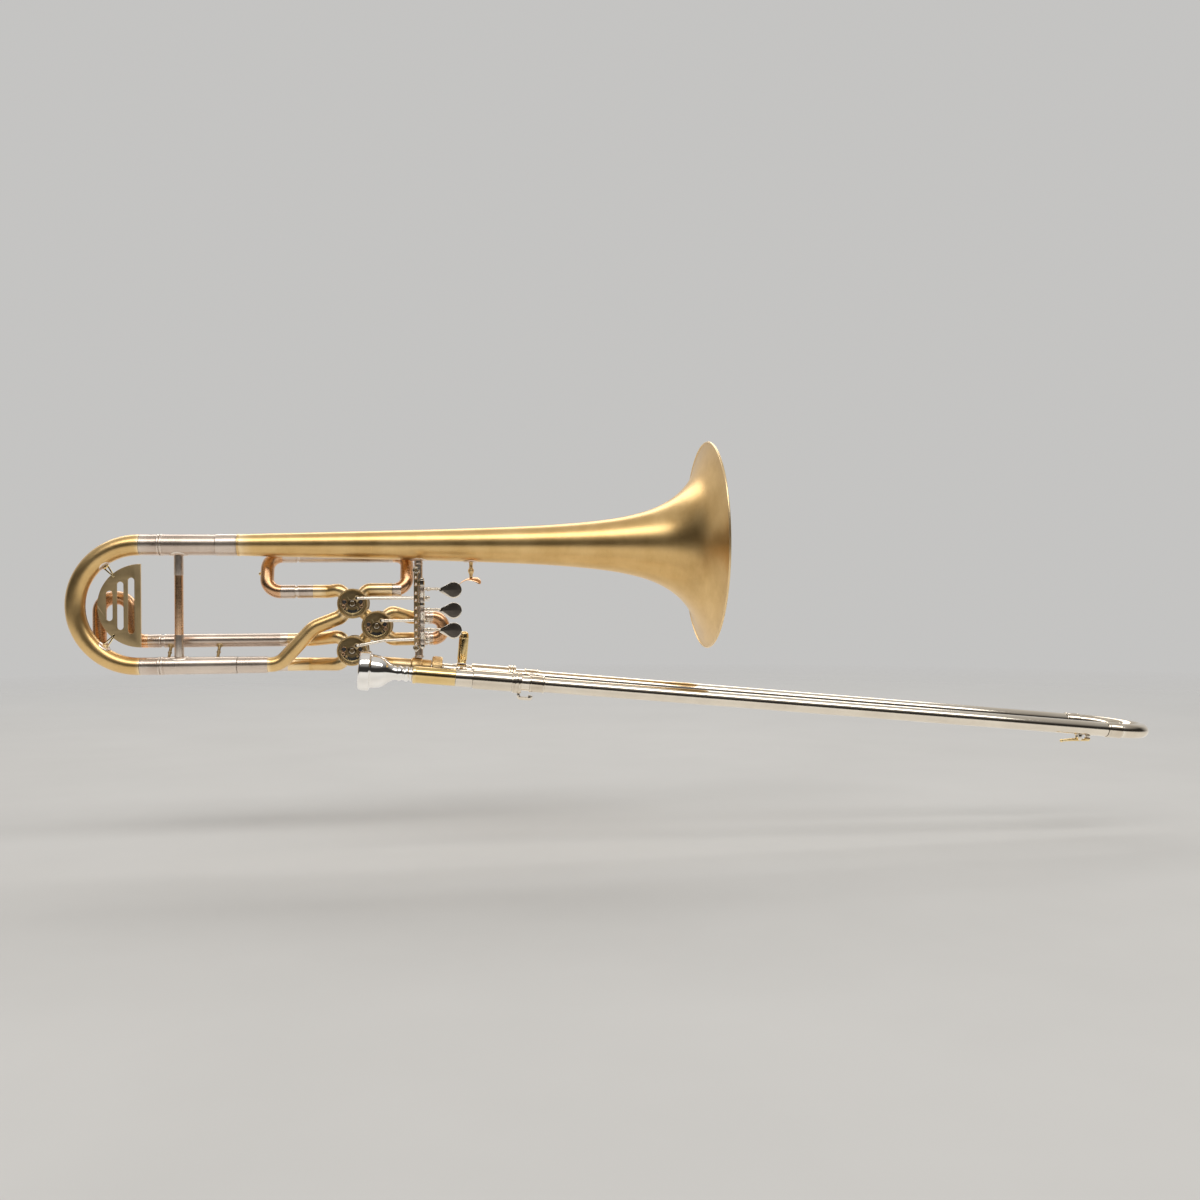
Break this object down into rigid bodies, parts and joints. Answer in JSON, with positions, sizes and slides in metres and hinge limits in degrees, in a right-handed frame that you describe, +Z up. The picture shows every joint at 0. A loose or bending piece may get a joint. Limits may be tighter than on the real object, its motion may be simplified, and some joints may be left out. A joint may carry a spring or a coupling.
{
  "type": "slide trombone with rotary valves",
  "caption": "Slide trombone with a flared bell, tuning bow, rotary valves worked by thumb levers through link rods, crooked valve slides and a long telescoping hand slide.",
  "frame": {"origin": "hand grip: the point on the neck side slide axis where the inner brace and hand post stand", "axes": "+X along the bell axis towards its mouth, +Z up through the bell above the hand slide, +Y away from the lever side"},
  "size_m": [1.132, 0.22, 0.3188],
  "materials": {
    "satin_brass": "satin lacquered gold brass, fine brushed",
    "polished_brass": "polished lacquered brass",
    "aged_brass": "dull aged brass, fine machined",
    "rose_brass": "satin rose brass",
    "satin_nickel": "satin nickel silver, warm grey",
    "polished_nickel": "polished nickel plate",
    "silver_plate": "polished silver plate",
    "black_rubber": "matt black rubber"
  },
  "bodies": {
    "root": {"bell": "satin_brass", "tuning_sleeve_upper": "satin_nickel", "tuning_sleeve_lower": "satin_nickel", "bow_brace": "satin_nickel", "gooseneck": "satin_brass", "valve_1_knuckle_left": "satin_brass", "valve_1_knuckle_right": "satin_brass", "valve_1_return_tube": "rose_brass", "valve_2_knuckle_upper": "satin_brass", "valve_2_knuckle_lower": "satin_brass", "valve_3_sleeve_upper": "satin_nickel", "valve_3_sleeve_lower": "satin_nickel", "valve_3_post_left": "aged_brass", "valve_3_post_right": "aged_brass", "valve_link_12": "satin_brass", "valve_link_23": "satin_brass", "neckpipe": "satin_brass", "bell_stanchion": "satin_nickel", "finger_hook_post": "satin_brass", "finger_hook": "rose_brass", "lever_rack": "satin_nickel", "lever_hinge_pin": "polished_nickel", "near_inner_tube": "polished_nickel", "far_inner_tube": "polished_nickel", "mouthpiece_receiver": "polished_brass", "near_cork_barrel": "polished_nickel", "far_cork_barrel": "polished_nickel", "inner_brace": "polished_nickel", "hand_post": "polished_brass", "valve_1_casing": "aged_brass", "valve_1_back_cap": "aged_brass", "valve_2_casing": "aged_brass", "valve_2_back_cap": "aged_brass", "valve_3_casing": "aged_brass", "valve_3_back_cap": "aged_brass"},
    "tuning_slide": {"tuning_bow": "satin_brass", "tuning_leg_upper": "satin_nickel", "tuning_leg_lower": "satin_nickel", "counterweight": "aged_brass"},
    "valve_1_slide": {"valve_1_slide": "rose_brass"},
    "valve_2_slide": {"valve_2_slide": "rose_brass"},
    "valve_3_slide": {"valve_3_slide": "rose_brass"},
    "hand_slide": {"near_outer_tube": "polished_nickel", "far_outer_tube": "polished_nickel", "end_bow": "polished_nickel", "end_bumper": "black_rubber", "outer_brace": "polished_nickel"},
    "slide_lock": {"slide_lock_ring": "polished_nickel"},
    "water_key": {"water_key": "polished_brass"},
    "mouthpiece": {"mouthpiece": "silver_plate"},
    "lock_nut": {"lock_nut": "satin_brass"},
    "lever_1": {"lever_1": "polished_nickel"},
    "rotor_1": {"valve_1_rotor": "polished_nickel"},
    "link_rod_1": {"link_rod_1": "polished_brass"},
    "lever_2": {"lever_2": "polished_nickel"},
    "rotor_2": {"valve_2_rotor": "polished_nickel"},
    "link_rod_2": {"link_rod_2": "polished_brass"},
    "lever_3": {"lever_3": "polished_nickel"},
    "rotor_3": {"valve_3_rotor": "polished_nickel"},
    "link_rod_3": {"link_rod_3": "polished_brass"}
  },
  "joints": [
    {"name": "hand_slide_out", "type": "slide", "parent": "root", "child": "hand_slide", "axis": [0.9955, 0, -0.0945], "range_m": [0, 0.56]},
    {"name": "tuning_slide_out", "type": "slide", "parent": "root", "child": "tuning_slide", "axis": [-1, 0, 0], "range_m": [0, 0.045]},
    {"name": "valve_1_slide_out", "type": "slide", "parent": "root", "child": "valve_1_slide", "axis": [-1, 0, 0], "range_m": [0, 0.02]},
    {"name": "valve_2_slide_out", "type": "slide", "parent": "root", "child": "valve_2_slide", "axis": [1, 0, 0], "range_m": [0, 0.009]},
    {"name": "valve_3_slide_out", "type": "slide", "parent": "root", "child": "valve_3_slide", "axis": [-1, 0, 0], "range_m": [0, 0.06]},
    {"name": "slide_lock_turn", "type": "hinge", "parent": "root", "child": "slide_lock", "pos_m": [0.04761, -0.08258, -0.00637], "axis": [0.9955, 0, -0.0945], "range_deg": [0, 30]},
    {"name": "lock_nut_turn", "type": "hinge", "parent": "root", "child": "lock_nut", "pos_m": [-0.02887, 0, 0.00274], "axis": [0.9955, 0, -0.0945], "range_deg": [0, 180]},
    {"name": "mouthpiece_out", "type": "slide", "parent": "root", "child": "mouthpiece", "axis": [-0.9955, 0, 0.0945], "range_m": [0, 0.02]},
    {"name": "water_key_press", "type": "hinge", "parent": "hand_slide", "child": "water_key", "pos_m": [0.63388, -0.08232, -0.07365], "axis": [0.0021, 0.9998, 0.0222], "range_deg": [0, 11], "stiffness_Nm_per_rad": 0.02, "springref_deg": -8.59},
    {"name": "lever_1_press", "type": "hinge", "parent": "root", "child": "lever_1", "pos_m": [-0.043, -0.04096, 0.0618], "axis": [0, 0, 1], "range_deg": [0, 40], "stiffness_Nm_per_rad": 0.03, "springref_deg": -20.05},
    {"name": "rotor_1_turn", "type": "hinge", "parent": "root", "child": "rotor_1", "pos_m": [-0.1131, 0, 0.0716], "axis": [0, -1, 0], "range_deg": [0, 90]},
    {"name": "link_rod_1_move", "type": "slide", "parent": "root", "child": "link_rod_1", "axis": [-1, 0, 0], "range_m": [0, 0.01075]},
    {"name": "lever_2_press", "type": "hinge", "parent": "root", "child": "lever_2", "pos_m": [-0.043, -0.04096, 0.0618], "axis": [0, 0, 1], "range_deg": [0, 40], "stiffness_Nm_per_rad": 0.03, "springref_deg": -20.05},
    {"name": "rotor_2_turn", "type": "hinge", "parent": "root", "child": "rotor_2", "pos_m": [-0.089, 0, 0.0487], "axis": [0, -1, 0], "range_deg": [0, 90]},
    {"name": "link_rod_2_move", "type": "slide", "parent": "root", "child": "link_rod_2", "axis": [-1, 0, 0], "range_m": [0, 0.01075]},
    {"name": "lever_3_press", "type": "hinge", "parent": "root", "child": "lever_3", "pos_m": [-0.043, -0.04096, 0.0618], "axis": [0, 0, 1], "range_deg": [0, 40], "stiffness_Nm_per_rad": 0.03, "springref_deg": -20.05},
    {"name": "rotor_3_turn", "type": "hinge", "parent": "root", "child": "rotor_3", "pos_m": [-0.1137, 0, 0.0236], "axis": [0, -1, 0], "range_deg": [0, 90]},
    {"name": "link_rod_3_move", "type": "slide", "parent": "root", "child": "link_rod_3", "axis": [-1, 0, 0], "range_m": [0, 0.01075]}
  ],
  "couplings": [
    {"joint": "rotor_1_turn", "follows": "lever_1_press", "ratio": 2.25},
    {"joint": "link_rod_1_move", "follows": "lever_1_press", "m_per_rad": 0.015395},
    {"joint": "rotor_2_turn", "follows": "lever_2_press", "ratio": 2.25},
    {"joint": "link_rod_2_move", "follows": "lever_2_press", "m_per_rad": 0.015395},
    {"joint": "rotor_3_turn", "follows": "lever_3_press", "ratio": 2.25},
    {"joint": "link_rod_3_move", "follows": "lever_3_press", "m_per_rad": 0.015395}
  ]
}
